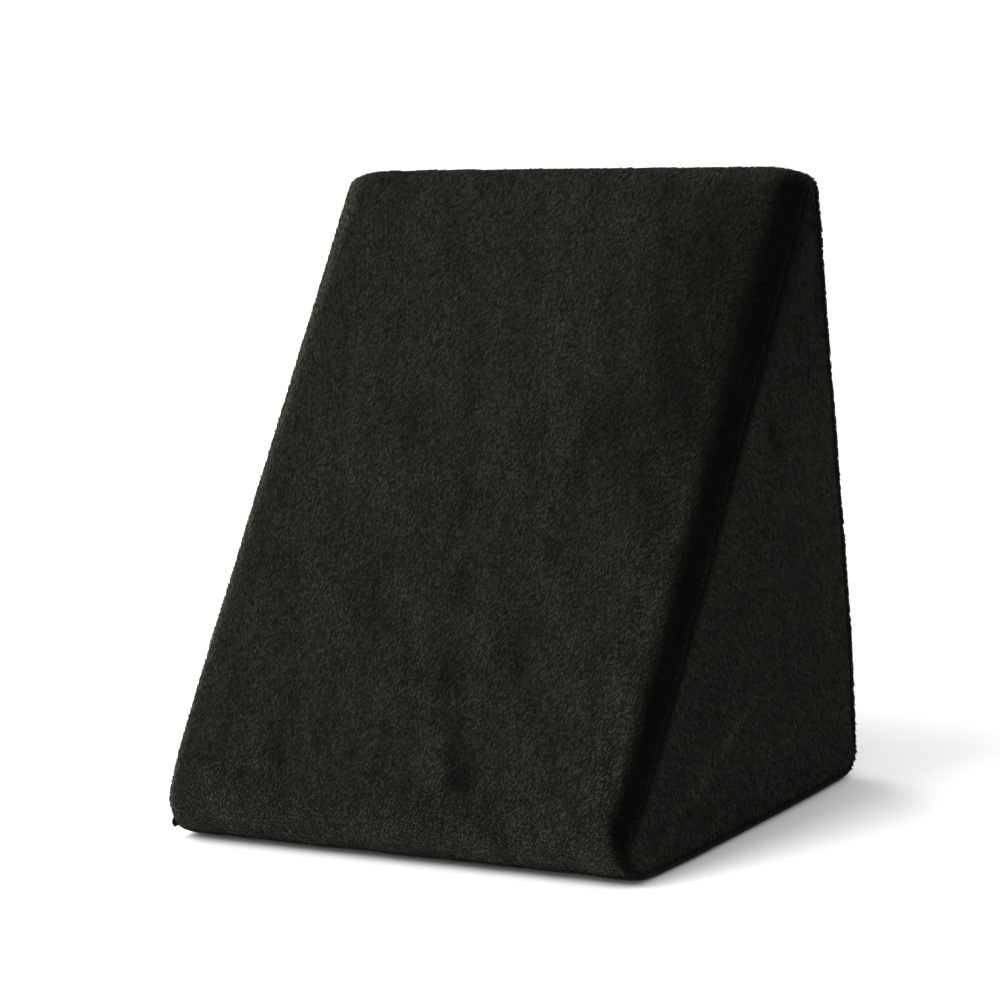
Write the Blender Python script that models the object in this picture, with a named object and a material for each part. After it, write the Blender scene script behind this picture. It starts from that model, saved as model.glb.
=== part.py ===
"""Wedge pillow: one filled foam wedge in a sewn plush cover, modelled as a single closed solid.

Metres, +Z up. The base lies flat on Z = 0, the back stands upright at +Y and the slope faces -Y.
The origin is the middle of the base. The side outline is drawn in the YZ plane, anticlockwise
from the toe: base, heel, back, crest, slope and round the toe again.
"""

from math import asin, atan2, cos, exp, pi, sin, tan, tau
from typing import NamedTuple

import bmesh
import bpy
from mathutils import Vector

NAME = "wedge_pillow"

# overall size, with the faces puffed out
WIDTH = 0.410
DEPTH = 0.318
HEIGHT = 0.437
SLOPE_CROWN = 0.006
BACK_CROWN = 0.004
SIDE_CROWN = 0.005

# the three edges that run across the width: their radius, how far along the width their ends
# are rounded, and how far in from them the side seam runs
TOE_RADIUS, TOE_REACH, TOE_INSET = 0.034, 0.040, 0.018
HEEL_RADIUS, HEEL_REACH, HEEL_INSET = 0.038, 0.036, 0.018
CREST_RADIUS, CREST_REACH, CREST_INSET = 0.022, 0.052, 0.020

# the wrapping panels turn over the side edges and are sewn to the side panels there
SIDE_SEAM_DEPTH = 0.0028
PANEL_CORNER_RADIUS = 0.006

# seams that run across the width, each a share of the way round its own corner
TOE_SEAM = 0.76
HEEL_SEAM = 0.50
CREST_SEAM = 0.12
CROSS_SEAM_DEPTH = 0.0015
SEAM_HALF_WIDTH = 0.0040
NO_SEAM = 1.0

# divisions of the surface
BASE_STEPS, BACK_STEPS, SLOPE_STEPS = 7, 11, 14
CORNER_STEPS = 6
MIDDLE_STEPS = 14
ROUNDING_STEPS = 5
PANEL_STEPS = 5

COVER_COLOUR = (0.0175, 0.0182, 0.0150, 1.0)
COVER_ROUGHNESS = 0.95


class Corner(NamedTuple):
    """A rounded corner of the side outline."""

    tip: Vector
    start: float
    sweep: float
    radius: float
    reach: float
    inset: float
    seam: float


class Place(NamedTuple):
    """A point of the side outline, with its outward normal and what the cover does there."""

    point: Vector
    normal: Vector
    reach: float
    crown: float
    seam_distance: float


def direction(angle):
    return Vector((cos(angle), sin(angle)))


def side_corners():
    """The toe, heel and crest, whose tips come from the depth, the height and the radii."""
    front = -DEPTH / 2
    back = DEPTH / 2 - BACK_CROWN
    toe_centre = Vector((front + TOE_RADIUS, TOE_RADIUS))
    crest_centre = Vector((back - CREST_RADIUS, HEIGHT - CREST_RADIUS))
    rise = crest_centre - toe_centre
    slope = atan2(rise.y, rise.x) - asin((TOE_RADIUS - CREST_RADIUS) / rise.length)
    toe_y = toe_centre.x - TOE_RADIUS / tan(slope / 2)
    toe = Vector((toe_y, 0.0))
    heel = Vector((back, 0.0))
    crest = Vector((back, (back - toe_y) * tan(slope)))
    return (
        Corner(toe, slope + pi / 2, pi - slope, TOE_RADIUS, TOE_REACH, TOE_INSET, TOE_SEAM),
        Corner(heel, -pi / 2, pi / 2, HEEL_RADIUS, HEEL_REACH, HEEL_INSET, HEEL_SEAM),
        Corner(crest, 0.0, slope + pi / 2, CREST_RADIUS, CREST_REACH, CREST_INSET, CREST_SEAM),
    )


TOE, HEEL, CREST = side_corners()
INRADIUS = (
    (HEEL.tip - TOE.tip).length + (CREST.tip - HEEL.tip).length - (CREST.tip - TOE.tip).length
) / 2
INCENTRE = HEEL.tip + Vector((-INRADIUS, INRADIUS))


def corner_point(corner, share, wrap, panel):
    """The point a share of the way round a corner of the outline. wrap runs from 0 at full size
    to 1 at the side seam, and panel from 0 there to 1 in the middle of the side panel."""
    inset = corner.inset * wrap + (INRADIUS - corner.inset) * panel
    radius = max(corner.radius - inset, PANEL_CORNER_RADIUS * (1 - panel))
    half_angle = (pi - corner.sweep) / 2
    inward = (INCENTRE - corner.tip).normalized()
    centre = corner.tip + inward * (inset + radius) / sin(half_angle)
    normal = direction(corner.start + corner.sweep * share)
    return centre + normal * radius, normal


def corner_places(corner, wrap, panel):
    """The places round one corner, closer together beside the seam that crosses it."""
    length = corner.sweep * corner.radius
    beside = SEAM_HALF_WIDTH / length
    even = [step / CORNER_STEPS for step in range(CORNER_STEPS + 1)]
    shares = [share for share in even if abs(share - corner.seam) > 1.5 * beside]
    shares += [corner.seam - beside, corner.seam, corner.seam + beside]
    for share in sorted(shares):
        point, normal = corner_point(corner, share, wrap, panel)
        seam_distance = (share - corner.seam) * length
        yield Place(point, normal, corner.reach, 0.0, seam_distance)


def straight_places(start, end, steps, crown, wrap, panel):
    """The places between two corners. The crown is highest halfway."""
    first, normal = corner_point(start, 1.0, wrap, panel)
    last, _ = corner_point(end, 0.0, wrap, panel)
    for step in range(1, steps):
        share = step / steps
        reach = start.reach + (end.reach - start.reach) * share
        lift = crown * sin(pi * share) ** 2
        yield Place(first.lerp(last, share), normal, reach, lift, NO_SEAM)


def side_outline(wrap, panel=0.0):
    """All places round the side outline."""
    return [
        *corner_places(TOE, wrap, panel),
        *straight_places(TOE, HEEL, BASE_STEPS, 0.0, wrap, panel),
        *corner_places(HEEL, wrap, panel),
        *straight_places(HEEL, CREST, BACK_STEPS, BACK_CROWN, wrap, panel),
        *corner_places(CREST, wrap, panel),
        *straight_places(CREST, TOE, SLOPE_STEPS, SLOPE_CROWN, wrap, panel),
    ]


def groove(distance, depth):
    return depth * exp(-((distance / SEAM_HALF_WIDTH) ** 2))


def wrap_ring(turn, share):
    """A ring of the wrapping panels. share runs from -1 to 1 across the width, and turn from 0,
    on the flat of the panels, to a quarter turn at the side seam."""
    from_seam = (pi / 2 - turn) * HEEL_INSET
    half = WIDTH / 2 - SIDE_CROWN
    ring = []
    for place in side_outline(1 - cos(turn)):
        x = share * (half - place.reach * (1 - sin(turn)))
        across = place.normal * cos(turn)
        outward = Vector((share * sin(turn), across.x, across.y))
        lift = place.crown * (1 - share**2) ** 2
        lift -= groove(place.seam_distance, CROSS_SEAM_DEPTH) * cos(turn)
        lift -= groove(from_seam, SIDE_SEAM_DEPTH)
        ring.append(Vector((x, place.point.x, place.point.y)) + outward * lift)
    return ring


def panel_puff(point):
    """How far a side panel stands out at a point: 0 along its seam, near 1 in the middle."""
    from_base = point.y
    from_back = HEEL.tip.x - point.x
    from_slope = (TOE.tip - point).dot(direction(TOE.start))
    share = from_base * from_back * from_slope / INRADIUS**3
    edge_share = (HEEL_INSET / INRADIUS) ** 2
    return 1 - (1 - max(share - edge_share, 0.0)) ** 2


def panel_ring(side, panel):
    """A ring of a side panel, from its seam at panel 0 to its middle at 1."""
    from_seam = (INRADIUS - HEEL_INSET) * panel
    ring = []
    for place in side_outline(1.0, panel):
        x = WIDTH / 2 - SIDE_CROWN * (1 - panel_puff(place.point))
        x -= groove(from_seam, SIDE_SEAM_DEPTH)
        ring.append(Vector((side * x, place.point.x, place.point.y)))
    return ring


def all_rings():
    """Every ring from the middle of the left side panel across to the middle of the right one."""
    turns = [pi / 2 * step / ROUNDING_STEPS for step in range(1, ROUNDING_STEPS + 1)]
    beside_seam = SEAM_HALF_WIDTH / (INRADIUS - HEEL_INSET)
    inner = 1 - 2 * beside_seam
    panels = [beside_seam] + [1 - inner * (1 - step / PANEL_STEPS) for step in range(PANEL_STEPS + 1)]
    rings = [panel_ring(-1, panel) for panel in reversed(panels)]
    rings += [wrap_ring(turn, -1) for turn in reversed(turns)]
    rings += [wrap_ring(0.0, 2 * step / MIDDLE_STEPS - 1) for step in range(MIDDLE_STEPS + 1)]
    rings += [wrap_ring(turn, 1) for turn in turns]
    rings += [panel_ring(1, panel) for panel in panels]
    return rings


def pillow_mesh():
    """A sphere whose poles are the middles of the side panels, moved ring by ring into shape."""
    middle_left, *rings, middle_right = all_rings()
    columns = len(middle_left)
    mesh = bmesh.new()
    bmesh.ops.create_uvsphere(mesh, u_segments=columns, v_segments=len(rings) + 1, radius=1.0)
    for vertex in mesh.verts:
        latitude = asin(max(-1.0, min(1.0, vertex.co.z)))
        row = round((latitude / pi + 0.5) * (len(rings) + 1))
        column = round(atan2(vertex.co.y, vertex.co.x) / tau * columns) % columns
        if row == 0:
            vertex.co = middle_left[0]
        elif row == len(rings) + 1:
            vertex.co = middle_right[0]
        else:
            vertex.co = rings[row - 1][column]
    return mesh


def build_pillow():
    collection = bpy.data.collections.new(NAME)
    bpy.context.scene.collection.children.link(collection)
    surface = pillow_mesh()
    mesh = bpy.data.meshes.new(NAME)
    surface.to_mesh(mesh)
    surface.free()
    mesh.materials.append(cover_material())
    mesh.shade_smooth()
    pillow = bpy.data.objects.new(NAME, mesh)
    collection.objects.link(pillow)


def cover_material():
    material = bpy.data.materials.new("charcoal_plush")
    material.use_nodes = True
    shader = material.node_tree.nodes["Principled BSDF"]
    shader.inputs["Base Color"].default_value = COVER_COLOUR
    shader.inputs["Roughness"].default_value = COVER_ROUGHNESS
    shader.inputs["Metallic"].default_value = 0.0
    return material


def main():
    for old in list(bpy.data.objects):
        bpy.data.objects.remove(old, do_unlink=True)
    build_pillow()


main()
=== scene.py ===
"""A steep wedge pillow: a foam wedge in a charcoal plush cover, standing on its base.

Metres, +Z up. The upright back is at +Y and the slope faces -Y. The side outline is drawn in
(Y, Z), anticlockwise from the toe: base, heel, back, crest, slope, and round the toe again.
"""

from math import asin, atan2, cos, exp, pi, radians, sin, tan, tanh, tau
from typing import NamedTuple

import bmesh
import bpy
from mathutils import Matrix, Vector, noise


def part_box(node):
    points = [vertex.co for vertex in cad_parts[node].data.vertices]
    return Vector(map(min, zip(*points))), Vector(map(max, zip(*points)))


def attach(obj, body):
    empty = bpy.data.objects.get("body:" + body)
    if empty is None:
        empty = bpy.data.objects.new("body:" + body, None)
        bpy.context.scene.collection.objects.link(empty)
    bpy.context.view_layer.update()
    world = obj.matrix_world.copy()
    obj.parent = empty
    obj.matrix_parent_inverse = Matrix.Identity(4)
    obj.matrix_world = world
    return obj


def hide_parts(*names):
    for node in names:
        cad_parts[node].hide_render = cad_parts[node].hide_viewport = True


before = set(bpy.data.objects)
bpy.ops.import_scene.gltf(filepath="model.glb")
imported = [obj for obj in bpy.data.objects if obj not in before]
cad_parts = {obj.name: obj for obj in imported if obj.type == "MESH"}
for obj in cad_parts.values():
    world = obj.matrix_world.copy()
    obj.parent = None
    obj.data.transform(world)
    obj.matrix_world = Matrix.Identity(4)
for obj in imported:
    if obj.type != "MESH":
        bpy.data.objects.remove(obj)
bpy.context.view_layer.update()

NODE = "wedge_pillow"
LOW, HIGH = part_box(NODE)
WIDTH = HIGH[0] - LOW[0]
DEPTH = HIGH[1] - LOW[1]
HEIGHT = HIGH[2] - LOW[2]

# how far the foam's faces stand out past their own edges, before the cloth is blown up
SLOPE_CROWN = 0.0040
BACK_CROWN = 0.0040
SIDE_CROWN = 0.0050

# seams: depth and half width of the sunk line
SIDE_SEAM = (0.0022, 0.0022)
CROSS_SEAM = (0.0016, 0.0016)

# the cloth's own grid, and the close rows beside a seam
CLOTH_STEP = 0.0065
BASE_STEP = 0.0150
PANEL_STEP = 0.0064
WRAP_ROWS = 12
SEAM_ROWS = (-0.0062, -0.0040, -0.0024, -0.0011, 0.0, 0.0011, 0.0024, 0.0040, 0.0062)

# how far the cover is drawn in across the width, beside the toe and the heel
TOE_DRAW = 0.0110
HEEL_DRAW = 0.0045
DRAW_SPREAD = 0.060

# how far the simulated cloth may move: out on the wrapping faces and on the sides, and in at edges
FACE_PUFF = 0.0035
SIDE_PUFF = 0.0020
EDGE_DRAW = 0.0008

# the pile: tufts laid over the nap, which leans to the right of straight up the slope
NAP_LEAN = 42
NAP_RISE = 0.38
NAP_STRAY = 0.36
TUFT_RADIUS = 0.00052
TUFT_LENGTH = 0.0028
TUFT_SIZES = (0.65, 1.3)
TUFT_SHADES = (0.3, 2.5)
PILE_DEPTH = 0.0009
PILE_PIECES = (
    "slope_pile_left",
    "slope_pile_right",
    "right_side_pile",
    "left_side_pile",
    "back_pile",
)
PILE_TUFTS = (63000, 63000, 34000, 34000, 60000)
PLUSH_COLOUR = (0.0190, 0.0200, 0.0150)
# painted shade: the cloth under the tufts is painted at this share of the plush colour, for the shade
# between the tufts' roots
CLOTH_SHADE_SHARE = 0.4

# the base is held while the cloth is blown up, less and less up to this height
HOLD_HEIGHT = 0.012
BLOWING_FRAMES = 20

# how far from a seam its gathers reach, how deep they are, and how many there are in a metre
GATHER_REACH = 0.009
GATHER_DEPTH = 0.0005
GATHERS = 95


class Edge(NamedTuple):
    """A side edge, between two corners: how far along the width its roll is rounded, at its start
    and at its end, and how far in from it the side seam runs."""

    start_reach: float
    end_reach: float
    inset: float


class Corner(NamedTuple):
    """A rounded corner of the side outline, with the share of it at which a seam crosses."""

    tip: Vector
    start: float
    sweep: float
    radius: float
    seam_radius: float
    before: Edge
    after: Edge
    seam: float


BASE_EDGE = Edge(0.010, 0.010, 0.006)
BACK_EDGE = Edge(0.018, 0.022, 0.014)
SLOPE_EDGE = Edge(0.054, 0.034, 0.018)


class Station(NamedTuple):
    """A line of cloth that crosses the pillow: between two corners, or round one."""

    start: Corner
    end: Corner
    share: float
    crown: float
    seam_distance: float
    run: float


def direction(angle):
    return Vector((cos(angle), sin(angle)))


def side_corners():
    """The toe, heel and crest of the side outline, from the frame's depth and height."""
    toe_radius, heel_radius, crest_radius = 0.034, 0.028, 0.022
    front = LOW[1]
    back = HIGH[1] - BACK_CROWN
    toe_centre = Vector((front + toe_radius, toe_radius))
    crest_centre = Vector((back - crest_radius, HEIGHT - crest_radius))
    rise = crest_centre - toe_centre
    slope = atan2(rise.y, rise.x) - asin((toe_radius - crest_radius) / rise.length)
    toe_y = toe_centre.x - toe_radius / tan(slope / 2)
    crest = Vector((back, (back - toe_y) * tan(slope)))
    toe = Vector((toe_y, 0.0))
    heel = Vector((back, 0.0))
    return (
        Corner(toe, slope + pi / 2, pi - slope, toe_radius, 0.014, SLOPE_EDGE, BASE_EDGE, 0.76),
        Corner(heel, -pi / 2, pi / 2, heel_radius, 0.010, BASE_EDGE, BACK_EDGE, 0.50),
        Corner(crest, 0.0, slope + pi / 2, crest_radius, 0.004, BACK_EDGE, SLOPE_EDGE, 0.12),
    )


TOE, HEEL, CREST = side_corners()
BASE_LENGTH = (HEEL.tip - TOE.tip).length
BACK_LENGTH = (CREST.tip - HEEL.tip).length
SLOPE_LENGTH = (TOE.tip - CREST.tip).length
INRADIUS = (BASE_LENGTH + BACK_LENGTH - SLOPE_LENGTH) / 2
INCENTRE = HEEL.tip + Vector((-INRADIUS, INRADIUS))
ALONG_SLOPE = (CREST.tip - TOE.tip).normalized()


def corner_point(corner, share, wrap, panel):
    """A point round a corner, and its normal. wrap draws the outline in as far as the side seam,
    and panel from there to the middle of the side panel."""
    radius = (corner.radius + (corner.seam_radius - corner.radius) * wrap) * (1 - panel)
    first, second = (
        edge.inset * wrap + (INRADIUS - edge.inset) * panel + radius
        for edge in (corner.before, corner.after)
    )
    between = cos(corner.sweep)
    along_first = (first - between * second) / (1 - between**2)
    along_second = (second - between * first) / (1 - between**2)
    centre = corner.tip - direction(corner.start) * along_first
    centre -= direction(corner.start + corner.sweep) * along_second
    normal = direction(corner.start + corner.sweep * share)
    return centre + normal * radius, normal


def station_point(station, wrap, panel):
    if station.start is station.end:
        return corner_point(station.start, station.share, wrap, panel)
    first, normal = corner_point(station.start, 1.0, wrap, panel)
    last, _ = corner_point(station.end, 0.0, wrap, panel)
    return first.lerp(last, station.share), normal


def cloth_rows(length, step, seam=None):
    """Distances along a stretch of cloth: even steps, and close ones beside a seam."""
    count = max(2, round(length / step))
    rows = [length * k / count for k in range(count)]
    if seam is not None:
        clear = SEAM_ROWS[-1] + step / 3
        rows = [row for row in rows if abs(row - seam) > clear]
        rows += [seam + row for row in SEAM_ROWS]
    return sorted(rows)


def side_stations():
    """Every line of cloth across the pillow, in order round the side outline."""
    stations = []
    run = 0.0
    stretches = (
        (TOE, TOE, CLOTH_STEP, 0.0),
        (TOE, HEEL, BASE_STEP, 0.0),
        (HEEL, HEEL, CLOTH_STEP, 0.0),
        (HEEL, CREST, CLOTH_STEP, BACK_CROWN),
        (CREST, CREST, CLOTH_STEP, 0.0),
        (CREST, TOE, CLOTH_STEP, SLOPE_CROWN),
    )
    for start, end, step, crown in stretches:
        if start is end:
            length = start.sweep * start.radius
            seam = start.seam * length
        else:
            first, _ = corner_point(start, 1.0, 0.0, 0.0)
            last, _ = corner_point(end, 0.0, 0.0, 0.0)
            length = (last - first).length
            seam = None
        for row in cloth_rows(length, step, seam):
            share = row / length
            lift = crown * sin(pi * share) ** 2
            distance = 1.0 if seam is None else row - seam
            stations.append(Station(start, end, share, lift, distance, run + row))
        run += length
    return stations


STATIONS = side_stations()


class Ring(NamedTuple):
    """A closed line round the pillow: its place across the width, how far it has turned over
    the side edge, how far it lies in the side panel, and its distance from the side seam."""

    across: float
    turn: float
    panel: float
    seam_distance: float


def half_rings():
    """Rings from the middle of the width to the middle of the right side panel."""
    middle = round((WIDTH / 2 - SIDE_CROWN - SLOPE_EDGE.end_reach) / CLOTH_STEP)
    rings = [Ring(k / middle, 0.0, 0.0, -1.0) for k in range(middle + 1)]
    wrap_length = pi / 2 * SLOPE_EDGE.inset
    turned = cloth_rows(wrap_length, wrap_length / WRAP_ROWS)[1:]
    turned = [row for row in turned if row < wrap_length + SEAM_ROWS[0]]
    rings += [Ring(1.0, row / SLOPE_EDGE.inset, 0.0, row - wrap_length) for row in turned]
    rings += [Ring(1.0, pi / 2 + row / SLOPE_EDGE.inset, 0.0, row) for row in SEAM_ROWS if row <= 0]
    panel_length = INRADIUS - SLOPE_EDGE.inset
    rings += [Ring(1.0, pi / 2, row / panel_length, row) for row in SEAM_ROWS if row > 0]
    count = round((panel_length - SEAM_ROWS[-1]) / PANEL_STEP)
    for k in range(1, count + 1):
        row = SEAM_ROWS[-1] + (panel_length - SEAM_ROWS[-1]) * k / count
        rings.append(Ring(1.0, pi / 2, row / panel_length, row))
    return rings


def all_rings():
    """Rings from the middle of the left side panel to the middle of the right one."""
    right = half_rings()
    left = [Ring(-ring.across, ring.turn, ring.panel, ring.seam_distance) for ring in right[:0:-1]]
    return left + right


RINGS = all_rings()


def panel_puff(point):
    """How far a side panel stands out at a point: 0 along its seam, near 1 in the middle."""
    from_edges = (
        (BASE_EDGE, point.y),
        (BACK_EDGE, HEEL.tip.x - point.x),
        (SLOPE_EDGE, (TOE.tip - point).dot(direction(TOE.start))),
    )
    share = 1.0
    for edge, distance in from_edges:
        share *= max(0.0, distance - edge.inset) / (INRADIUS - edge.inset)
    return 1 - (1 - min(share, 1.0)) ** 2


def reach_at(station):
    """How far along the width the side edge's roll is rounded, at a station."""
    if station.start is station.end:
        start, end = station.start.before.end_reach, station.start.after.start_reach
    else:
        start, end = station.start.after.start_reach, station.start.after.end_reach
    return start + (end - start) * station.share


def drawn_in(x, point):
    """The cover is pulled in a little at the corners that it is sewn on the foot of the wedge."""
    pull = 0.0
    for corner, most in ((TOE, TOE_DRAW), (HEEL, HEEL_DRAW)):
        pull += most * exp(-(((point - corner.tip).length / DRAW_SPREAD) ** 2))
    return x - pull * (2 * x / WIDTH) ** 3


def foam_point(ring, station):
    """Where the cloth lies on the foam, before it is blown up and before the seams are sunk."""
    side = 1 if ring.across >= 0 else -1
    point, normal = station_point(station, 1 - cos(ring.turn), ring.panel)
    if ring.panel > 0:
        x = WIDTH / 2 - SIDE_CROWN * (1 - panel_puff(point))
        return Vector((drawn_in(side * x, point), point.x, point.y))
    x = ring.across * (WIDTH / 2 - SIDE_CROWN - reach_at(station) * (1 - sin(ring.turn)))
    flat = max(0.0, 1 - (x / (WIDTH / 2 - SIDE_CROWN)) ** 2)
    lift = normal * station.crown * flat**1.5 * cos(ring.turn)
    return Vector((drawn_in(x, point), point.x + lift.x, point.y + lift.y))


def cloth_grid():
    """A sphere with its poles in the middles of the side panels, moved ring by ring onto the
    foam. Returns it with the ring and the station of every point."""
    mesh = bmesh.new()
    columns, last_row = len(STATIONS), len(RINGS) - 1
    bmesh.ops.create_uvsphere(mesh, u_segments=columns, v_segments=last_row, radius=1.0)
    places = []
    for vertex in mesh.verts:
        latitude = asin(max(-1.0, min(1.0, vertex.co.z)))
        row = round((latitude / pi + 0.5) * last_row)
        column = round(atan2(vertex.co.y, vertex.co.x) / tau * columns) % columns
        places.append((row, column))
    for vertex, (row, column) in zip(mesh.verts, places):
        vertex.co = foam_point(RINGS[row], STATIONS[column])
    return mesh, places


def pin_base(cover):
    """Holds the base flat while the cloth is blown up."""
    group = cover.vertex_groups.new(name="held")
    for vertex in cover.data.vertices:
        hold = 1 - min(1.0, vertex.co.z / HOLD_HEIGHT)
        group.add([vertex.index], hold, "REPLACE")
    return group


def blown_places(cover):
    """Where a cloth simulation under a light pressure takes the cover, as the foam presses it."""
    group = pin_base(cover)
    cloth = cover.modifiers.new("cloth", "CLOTH")
    cloth.settings.quality = 6
    cloth.settings.mass = 0.25
    cloth.settings.tension_stiffness = 25
    cloth.settings.compression_stiffness = 25
    cloth.settings.shear_stiffness = 10
    cloth.settings.bending_stiffness = 0.5
    cloth.settings.use_pressure = True
    cloth.settings.uniform_pressure_force = 4.0
    cloth.settings.vertex_group_mass = group.name
    cloth.settings.effector_weights.gravity = 0.0
    cloth.collision_settings.use_collision = False
    cloth.point_cache.frame_start = 1
    cloth.point_cache.frame_end = BLOWING_FRAMES
    scene = bpy.context.scene
    for step in range(1, BLOWING_FRAMES + 1):
        scene.frame_set(step)
    blown = cover.evaluated_get(bpy.context.evaluated_depsgraph_get())
    places = [vertex.co.copy() for vertex in blown.data.vertices]
    cover.modifiers.remove(cloth)
    cover.vertex_groups.remove(group)
    scene.frame_set(1)
    return places


def blow_up(cover, grid):
    """Lets the faces puff as the simulation says. The rolled edges keep to the foam."""
    blown = blown_places(cover)
    normals = [vertex.normal.copy() for vertex in cover.data.vertices]
    for vertex, place, normal, (row, _) in zip(cover.data.vertices, blown, normals, grid):
        out = (place - vertex.co).dot(normal)
        most = SIDE_PUFF if RINGS[row].panel > 0 else FACE_PUFF
        if out < 0:
            most = EDGE_DRAW
        vertex.co += normal * (most * tanh(out / most))
        vertex.co.z = max(vertex.co.z, 0.0)


class Mark(NamedTuple):
    """A stroke in the brushed pile: its middle and size in millimetres on its own panel, its lean
    to the left in degrees, and its tone, from -1 dark and sunk to 1 light and raised."""

    across: float
    up: float
    length: float
    width: float
    lean: float
    tone: float


# on the slope: across from the middle, and up the cloth from the toe
SLOPE_MARKS = (
    Mark(7, 280, 26, 7, 20, -0.8),
    Mark(22, 211, 36, 8, 18, -0.7),
    Mark(89, 315, 62, 9, 4, -0.7),
    Mark(83, 168, 54, 8, 17, -0.8),
    Mark(95, 165, 30, 6, 17, 0.5),
    Mark(69, 73, 58, 9, 18, -0.8),
    Mark(123, 56, 24, 10, 20, -0.6),
    Mark(-46, 234, 22, 6, 18, -0.5),
    Mark(-11, 106, 24, 6, 20, -0.5),
    Mark(-4, 60, 42, 8, 18, -0.5),
    Mark(-94, 80, 64, 9, 19, -0.6),
    Mark(86, 243, 20, 7, 16, -0.6),
    Mark(38, 89, 50, 8, 18, 0.9),
    Mark(50, 86, 66, 9, 20, -1.0),
    Mark(-107, 308, 66, 9, 18, 0.5),
    Mark(-62, 330, 50, 8, 18, -0.5),
    Mark(129, 325, 24, 6, 18, 0.4),
    Mark(30, 150, 40, 12, 18, -0.4),
    # a broad dark, sunk strip beside the right edge, on the upper slope
    Mark(150, 415, 270, 45, 0, -1.0),
)

# on a side panel: towards the back from the middle, and up from the floor
PANEL_MARKS = (
    Mark(55, 262, 28, 5, 24, -1.0),
    Mark(75, 300, 15, 9, 0, -0.6),
    Mark(95, 285, 13, 8, 10, -0.7),
    Mark(110, 302, 17, 9, -10, -0.8),
    Mark(100, 322, 15, 8, 0, -0.9),
    Mark(124, 332, 15, 8, 0, -0.7),
    Mark(120, 276, 13, 7, 15, -0.6),
    Mark(-120, 30, 15, 12, 60, -0.7),
    Mark(-95, 35, 14, 10, 60, -0.6),
    Mark(-68, 32, 16, 10, 70, -0.6),
    Mark(44, 95, 26, 6, 5, -0.5),
    Mark(73, 152, 15, 7, 0, -0.4),
    Mark(60, 190, 44, 9, 5, -0.3),
)


def on_slope(ring, station):
    return ring.panel == 0 and station.start is CREST and station.end is TOE


def mark_strength(mark, across, up):
    """How strongly a mark shows at a place of its panel."""
    lean = radians(mark.lean)
    east = across * 1000 - mark.across
    north = up * 1000 - mark.up
    aside = (east * cos(lean) + north * sin(lean)) / mark.width
    ahead = (north * cos(lean) - east * sin(lean)) / (mark.length / 2)
    if abs(aside) > 3 or abs(ahead) > 1.6:
        return 0.0
    return exp(-(aside**2) - ahead**4)


def brushed(across, up, lean, seed):
    """Long soft streaks that a hand leaves in the pile, leaning to the left by an angle."""
    east = across * cos(lean) + up * sin(lean)
    north = up * cos(lean) - across * sin(lean)
    broad = noise.noise(Vector((east / 0.022, north / 0.085, seed)))
    fine = noise.noise(Vector((east / 0.009, north / 0.040, seed + 5)))
    return 0.75 * broad + 0.55 * fine


def clouds(ring, station, place):
    """The soft unevenness of the pile at a point, without its marks."""
    if ring.panel > 0:
        tone = 0.45 * brushed(place.y, place.z, 0.0, 3.0 if ring.across > 0 else 9.0)
    else:
        tone = brushed(place.x, -station.run, radians(18), 1.0)
    return tone + 0.30 * noise.noise(place * 60 + Vector((4, 7, 2)))


def marked(ring, station, place):
    """The tone of the marks that cross a point."""
    if ring.panel > 0:
        return sum(mark.tone * mark_strength(mark, place.y, place.z) for mark in PANEL_MARKS)
    if on_slope(ring, station):
        up = (Vector((place.y, place.z)) - TOE.tip).dot(ALONG_SLOPE)
        return sum(mark.tone * mark_strength(mark, place.x, up) for mark in SLOPE_MARKS)
    return 0.0


def sink(distance, seam):
    depth, half_width = seam
    return depth * exp(-((distance / half_width) ** 2))


def pucker(distance, place):
    """The small gathers on both sides of a seam."""
    reach = exp(-abs(distance) / GATHER_REACH)
    return GATHER_DEPTH * reach * noise.noise(place * GATHERS)


def ramp(value, low, high):
    share = min(1.0, max(0.0, (value - low) / (high - low)))
    return share * share * (3 - 2 * share)


def parting_and_shade(ring, station, place):
    """How far the pile is painted dark where the cloth bends over the foam's side edges and beside the
    side seams: partly the pile parting there, partly painted shade, which reaches much further round the
    right roll than the left.
    """
    if ring.panel > 0:
        spread = 0.0025 + 0.0080 * ramp(place.z, 0.26, 0.40)
        return 0.85 * exp(-((ring.seam_distance / spread) ** 2))
    if station.end is HEEL:
        return 0.6 * ramp(ring.turn, 0.9, 1.4)
    part = ramp(ring.turn, 1.15, 1.40) if ring.across < 0 else ramp(ring.turn, 0.36, 0.80)
    if station.start is CREST and station.end is CREST:
        part *= 1 - 0.5 * ramp(1 - station.share, 0.0, 0.4)
    return part


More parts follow.
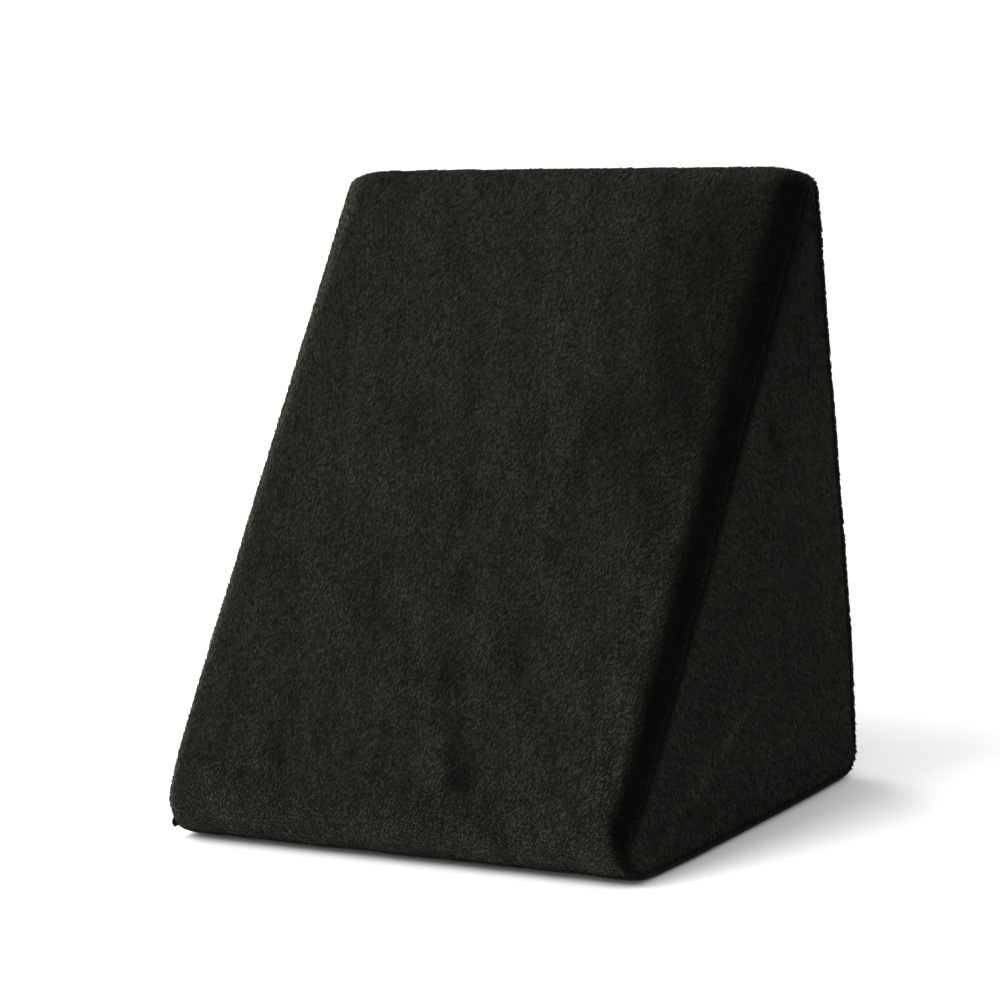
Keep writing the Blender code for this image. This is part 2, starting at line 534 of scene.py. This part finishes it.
def pile_tone_and_light(ring, station, place, cloud, mark):
    """The share of its colour that the pile is painted with: its own clouds and marks, with painted shade
    and light on its edges, sides, toe and foot.
    """
    contrast = 0.48 - 0.14 * ramp(place.z, 0.05, 0.25)
    tone = max(0.2, 1 + contrast * cloud + (0.85 if ring.panel > 0 else 0.55) * mark)
    # painted shade: both side panels are painted at half the wrapping panels' tone, and darker still
    # towards their top
    if ring.panel > 0:
        tone *= 0.50 - 0.14 * ramp(place.z, 0.26, 0.36)
    # painted sheen: the left roll is painted up to two and a half times lighter where it turns over
    # towards the side
    elif ring.across < 0:
        tone *= 1 + 1.5 * ramp(ring.turn, 0.60, 0.95)
    # painted light: the toe's roll is painted up to half again lighter as it turns down towards the
    # floor, where less light reaches it
    if station.start is TOE and station.end is TOE:
        tone *= 1 + 0.5 * ramp(station.share, 0.05, 0.60)
    # painted shade, partly the pile parting: darker along the rolled edges and beside the side seams
    tone *= 1 - 0.95 * parting_and_shade(ring, station, place)
    if ring.panel == 0:
        tone *= 1 - 0.6 * exp(-((station.seam_distance / 0.0030) ** 2)) * cos(ring.turn)
    # painted shade: the pile is painted down to 0.4 of its tone in the last 4 mm above the floor
    tone *= 0.4 + 0.6 * ramp(place.z, 0.0, 0.004)
    return max(tone, 0.04)


def nap_way(ring, station, normal):
    """The way that the pile lies. It runs to the right up the slope, on over the crest and down
    the back, and straight down the side panels."""
    if ring.panel > 0:
        way = Vector((0.0, 0.12, -1.0))
    else:
        _, outward = station_point(station, 0.0, 0.0)
        lean = radians(NAP_LEAN)
        way = Vector((sin(lean), outward.y * cos(lean), -outward.x * cos(lean)))
    return (way - normal * way.dot(normal)).normalized()


def pile_length(ring, station, place):
    """The share of its length that the pile has at a point, shorter beside seams and the floor."""
    share = 1 - 0.55 * exp(-((ring.seam_distance / 0.0030) ** 2))
    if ring.panel == 0:
        share *= 1 - 0.4 * exp(-((station.seam_distance / 0.0025) ** 2))
    return share * ramp(place.z, 0.0, 0.006)


def panel_number(ring, station, place):
    """Which piece of pile grows at a point. 0 is the bare base."""
    if place.z < 0.0012:
        return 0
    if ring.panel > 0:
        return PILE_PIECES.index("right_side_pile" if ring.across > 0 else "left_side_pile") + 1
    if station.start is HEEL or (station.start is TOE and station.end is HEEL):
        return PILE_PIECES.index("back_pile") + 1
    if station.start is TOE and station.share > TOE.seam and station.end is TOE:
        return PILE_PIECES.index("back_pile") + 1
    half = "slope_pile_right" if ring.across > 0 else "slope_pile_left"
    return PILE_PIECES.index(half) + 1


def dress_cloth(cover, grid):
    """Sinks the seams and the brushed marks, and stores what the pile and its material read."""
    mesh = cover.data
    normals = [vertex.normal.copy() for vertex in mesh.vertices]
    tones_and_light, lengths, ways, numbers = [], [], [], []
    for vertex, normal, (row, column) in zip(mesh.vertices, normals, grid):
        ring, station = RINGS[row], STATIONS[column]
        place = vertex.co.copy()
        cloud, mark = clouds(ring, station, place), marked(ring, station, place)
        tones_and_light.append(pile_tone_and_light(ring, station, place, cloud, mark))
        length = pile_length(ring, station, place)
        lengths.append(length)
        ways.extend(nap_way(ring, station, normal))
        numbers.append(panel_number(ring, station, place))
        if place.z < 0.0005:
            continue
        lift = -sink(ring.seam_distance, SIDE_SEAM) + pucker(ring.seam_distance, place)
        if ring.panel == 0:
            turned = cos(ring.turn)
            lift -= sink(station.seam_distance, CROSS_SEAM) * turned
            lift += pucker(station.seam_distance, place) * turned
        lift += 0.0006 * cloud + 0.0020 * mark - PILE_DEPTH * length
        vertex.co += normal * lift
        vertex.co.z = max(vertex.co.z, 0.0)
    panels = [min(numbers[index] for index in polygon.vertices) for polygon in mesh.polygons]
    # the tone attribute holds the pile's own clouds and marks, and painted shade and light
    mesh.attributes.new("tone", "FLOAT", "POINT").data.foreach_set("value", tones_and_light)
    mesh.attributes.new("pile", "FLOAT", "POINT").data.foreach_set("value", lengths)
    mesh.attributes.new("nap_way", "FLOAT_VECTOR", "POINT").data.foreach_set("vector", ways)
    mesh.attributes.new("panel", "INT", "FACE").data.foreach_set("value", panels)


def lay_weave(cover, grid):
    """A cloth map in metres: along and across the wrapping panels, and upright on the sides."""
    mesh = cover.data
    layer = mesh.uv_layers.new(name="cloth")
    around = STATIONS[-1].run + CLOTH_STEP
    for polygon in mesh.polygons:
        rows = [grid[index][0] for index in polygon.vertices]
        in_panel = max(abs(RINGS[row].panel) for row in rows) > 0
        columns = [grid[index][1] for index in polygon.vertices]
        wraps = max(columns) - min(columns) > len(STATIONS) / 2
        for corner, row, column in zip(polygon.loop_indices, rows, columns):
            vertex = mesh.vertices[mesh.loops[corner].vertex_index]
            if in_panel:
                layer.data[corner].uv = (vertex.co.y, vertex.co.z)
                continue
            ring, station = RINGS[row], STATIONS[column]
            run = station.run + (around if wraps and column < len(STATIONS) / 2 else 0.0)
            side = 1 if ring.across >= 0 else -1
            over_edge = side * 0.035 * ring.turn
            layer.data[corner].uv = (vertex.co.x + over_edge, -run)


def link(name, mesh):
    thing = bpy.data.objects.new(name, mesh)
    bpy.context.scene.collection.objects.link(thing)
    return thing


def make_cover():
    surface, grid = cloth_grid()
    mesh = bpy.data.meshes.new("plush_cover")
    surface.to_mesh(mesh)
    surface.free()
    cover = link("plush_cover", mesh)
    blow_up(cover, grid)
    dress_cloth(cover, grid)
    lay_weave(cover, grid)
    mesh.shade_smooth()
    smooth = cover.modifiers.new("smooth", "SUBSURF")
    smooth.levels = smooth.render_levels = 1
    return cover


def joined(tree, kind, inputs, **settings):
    """Adds a node. inputs gives its sockets by name or number, each a link or a value."""
    made = tree.nodes.new(kind)
    for name, value in settings.items():
        setattr(made, name, value)
    for name, value in inputs.items():
        socket = made.inputs[name]
        if isinstance(value, bpy.types.NodeSocket):
            tree.links.new(value, socket)
        else:
            socket.default_value = value
    return made


def named_value(tree, name, kind):
    made = joined(tree, "GeometryNodeInputNamedAttribute", {"Name": name}, data_type=kind)
    return made.outputs["Attribute"]


def pile_nodes(number, density, seed):
    """Grows a tuft at random points of one panel, laid over the way that the nap runs."""
    tree = bpy.data.node_groups.new("pile", "GeometryNodeTree")
    tree.interface.new_socket("Geometry", in_out="INPUT", socket_type="NodeSocketGeometry")
    tree.interface.new_socket("Geometry", in_out="OUTPUT", socket_type="NodeSocketGeometry")
    cloth = tree.nodes.new("NodeGroupInput").outputs[0]
    here = joined(
        tree,
        "FunctionNodeCompare",
        {2: named_value(tree, "panel", "INT"), 3: number},
        data_type="INT",
        operation="EQUAL",
    )
    points = joined(
        tree,
        "GeometryNodeDistributePointsOnFaces",
        {"Mesh": cloth, "Selection": here.outputs["Result"], "Density": density, "Seed": seed},
        distribute_method="RANDOM",
    )
    stray = joined(
        tree,
        "FunctionNodeRandomValue",
        {0: (-NAP_STRAY,) * 3, 1: (NAP_STRAY,) * 3, "Seed": seed + 1},
        data_type="FLOAT_VECTOR",
    )
    rise = joined(
        tree,
        "ShaderNodeVectorMath",
        {0: points.outputs["Normal"], "Scale": NAP_RISE},
        operation="SCALE",
    )
    way = joined(tree, "ShaderNodeVectorMath", {0: rise.outputs[0], 1: stray.outputs[0]}, operation="ADD")
    way = joined(
        tree,
        "ShaderNodeVectorMath",
        {0: way.outputs[0], 1: named_value(tree, "nap_way", "FLOAT_VECTOR")},
        operation="ADD",
    )
    turn = joined(tree, "FunctionNodeAlignRotationToVector", {"Vector": way.outputs[0]}, axis="Z")
    size = joined(
        tree,
        "FunctionNodeRandomValue",
        {2: TUFT_SIZES[0], 3: TUFT_SIZES[1], "Seed": seed + 2},
        data_type="FLOAT",
    )
    size = joined(
        tree,
        "ShaderNodeMath",
        {0: size.outputs[1], 1: named_value(tree, "pile", "FLOAT")},
        operation="MULTIPLY",
    )
    tuft = joined(
        tree,
        "GeometryNodeMeshCone",
        {"Vertices": 3, "Radius Top": 0.0, "Radius Bottom": TUFT_RADIUS, "Depth": TUFT_LENGTH},
        fill_type="NONE",
    )
    tufts = joined(
        tree,
        "GeometryNodeInstanceOnPoints",
        {
            "Points": points.outputs["Points"],
            "Instance": tuft.outputs["Mesh"],
            "Rotation": turn.outputs[0],
            "Scale": size.outputs[0],
        },
    )
    shade = joined(
        tree,
        "FunctionNodeRandomValue",
        {2: TUFT_SHADES[0], 3: TUFT_SHADES[1], "Seed": seed + 3},
        data_type="FLOAT",
    )
    shaded = joined(
        tree,
        "GeometryNodeStoreNamedAttribute",
        {"Geometry": tufts.outputs[0], "Name": "shade", "Value": shade.outputs[1]},
        data_type="FLOAT",
        domain="INSTANCE",
    )
    real = joined(tree, "GeometryNodeRealizeInstances", {"Geometry": shaded.outputs[0]})
    joined(tree, "NodeGroupOutput", {0: real.outputs[0]})
    return tree


def grow_pile(cover, name, tufts, area):
    """One panel's pile as a mesh of its own."""
    number = PILE_PIECES.index(name) + 1
    grower = cover.modifiers.new("pile", "NODES")
    grower.node_group = pile_nodes(number, tufts / area, 10 * number)
    depsgraph = bpy.context.evaluated_depsgraph_get()
    mesh = bpy.data.meshes.new_from_object(cover.evaluated_get(depsgraph), depsgraph=depsgraph)
    cover.modifiers.remove(grower)
    mesh.name = name
    return link(name, mesh)


def panel_areas(cover):
    areas = [0.0] * (len(PILE_PIECES) + 1)
    panels = cover.data.attributes["panel"].data
    for polygon in cover.data.polygons:
        areas[panels[polygon.index].value] += polygon.area
    return areas


def maths(tree, operation, *values):
    return joined(tree, "ShaderNodeMath", dict(enumerate(values)), operation=operation).outputs[0]


def attribute(tree, name):
    return joined(tree, "ShaderNodeAttribute", {}, attribute_name=name).outputs["Fac"]


def strokes(tree, cloth, length, width, lean, detail=2.0):
    """Noise drawn out into strokes of a length and a width, leaning to the right of upright."""
    placed = joined(
        tree,
        "ShaderNodeMapping",
        {"Vector": cloth, "Rotation": (0, 0, radians(90 - lean)), "Scale": (length, width, 1)},
        vector_type="TEXTURE",
    )
    made = joined(
        tree,
        "ShaderNodeTexNoise",
        {"Vector": placed.outputs[0], "Scale": 1.0, "Detail": detail, "Roughness": 0.6},
    )
    return maths(tree, "SUBTRACT", made.outputs["Fac"], 0.5)


def plush(name, colour):
    """A rough material with a soft sheen, and the node tree and shader to paint it with."""
    material = bpy.data.materials.new(name)
    material.use_nodes = True
    tree = material.node_tree
    shader = tree.nodes["Principled BSDF"]
    shader.inputs["Roughness"].default_value = 1.0
    shader.inputs["Specular IOR Level"].default_value = 0.06
    shader.inputs["Sheen Weight"].default_value = 0.05
    shader.inputs["Sheen Roughness"].default_value = 0.5
    shader.inputs["Sheen Tint"].default_value = (0.50, 0.52, 0.46, 1.0)
    painted = joined(tree, "ShaderNodeVectorMath", {0: colour}, operation="SCALE")
    tree.links.new(painted.outputs[0], shader.inputs["Base Color"])
    return material, tree, shader, painted.inputs["Scale"]


def cloth_material():
    # painted shade: the cloth is darker than the tufts, standing in for the shade among their roots
    material, tree, shader, strength = plush(
        "charcoal_plush_cloth", [CLOTH_SHADE_SHARE * part for part in PLUSH_COLOUR]
    )
    cloth = joined(tree, "ShaderNodeUVMap", {}, uv_map="cloth").outputs[0]
    pile = strokes(tree, cloth, 0.0050, 0.0015, NAP_LEAN, detail=3.0)
    tone = maths(tree, "MULTIPLY_ADD", pile, 1.8, 1.0)
    tone = maths(tree, "MAXIMUM", tone, 0.1)
    # the cloth takes the tone attribute, with its painted shade and light
    tree.links.new(maths(tree, "MULTIPLY", tone, attribute(tree, "tone")), strength)
    bump = joined(tree, "ShaderNodeBump", {"Strength": 0.8, "Distance": 0.0030, "Height": pile})
    tree.links.new(bump.outputs[0], shader.inputs["Normal"])
    return material


def pile_material():
    material, tree, _, strength = plush("charcoal_plush_pile", PLUSH_COLOUR)
    # the tufts take the tone attribute, with its painted shade and light
    tree.links.new(maths(tree, "MULTIPLY", attribute(tree, "shade"), attribute(tree, "tone")), strength)
    return material


def stage():
    """A plain pale floor and soft studio light."""
    floor = bmesh.new()
    bmesh.ops.create_grid(floor, x_segments=1, y_segments=1, size=60.0)
    mesh = bpy.data.meshes.new("studio_floor")
    floor.to_mesh(mesh)
    floor.free()
    ground = link("studio_floor", mesh)
    paint = bpy.data.materials.new("pale_floor")
    paint.use_nodes = True
    shader = paint.node_tree.nodes["Principled BSDF"]
    shader.inputs["Base Color"].default_value = (0.92, 0.92, 0.92, 1.0)
    shader.inputs["Roughness"].default_value = 0.9
    mesh.materials.append(paint)
    world = bpy.data.worlds.new("studio")
    bpy.context.scene.world = world
    world.use_nodes = True
    world.node_tree.nodes["Background"].inputs["Color"].default_value = (1.0, 1.0, 1.0, 1.0)
    world.node_tree.nodes["Background"].inputs["Strength"].default_value = 0.90
    sun = bpy.data.lights.new("key_light", "SUN")
    sun.energy = 2.6
    sun.angle = radians(40)
    lamp = link("key_light", sun)
    lamp.rotation_euler = Vector((-0.40, -0.44, 0.78)).to_track_quat("Z", "Y").to_euler()
    rim = bpy.data.lights.new("rim_light", "SUN")
    rim.energy = 3.0
    rim.angle = radians(25)
    lamp = link("rim_light", rim)
    lamp.rotation_euler = Vector((-0.85, 0.50, 0.18)).to_track_quat("Z", "Y").to_euler()
    bpy.context.scene.view_settings.view_transform = "Standard"


def point_camera(azimuth, pitch, roll, distance, aim, lens):
    """The photo's view: azimuth from the front towards +X, and a camera tipped by roll."""
    a, e, r = radians(azimuth), radians(pitch), radians(roll)
    back = Vector((sin(a) * cos(e), -cos(a) * cos(e), sin(e)))
    level = Vector((cos(a), sin(a), 0))
    above = back.cross(level)
    right = level * cos(r) + above * sin(r)
    up = above * cos(r) - level * sin(r)
    camera = link("camera", bpy.data.cameras.new("camera"))
    turned = Matrix((right, up, back)).transposed().to_4x4()
    camera.matrix_world = Matrix.Translation(Vector(aim) + back * distance) @ turned
    camera.data.sensor_width = 36
    camera.data.lens = lens
    bpy.context.scene.camera = camera


cover = make_cover()
cover.data.materials.append(cloth_material())
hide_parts(NODE)
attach(cover, "root")

areas = panel_areas(cover)
tuft_paint = pile_material()
for number, (name, tufts) in enumerate(zip(PILE_PIECES, PILE_TUFTS), start=1):
    pile = grow_pile(cover, name, tufts, areas[number])
    pile.data.materials.clear()
    pile.data.materials.append(tuft_paint)
    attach(pile, "root")

stage()
point_camera(
    azimuth=35.98,
    pitch=11.07,
    roll=-5.24,
    distance=2.899,
    aim=(-0.0190, 0.0376, 0.2129),
    lens=146.95,
)
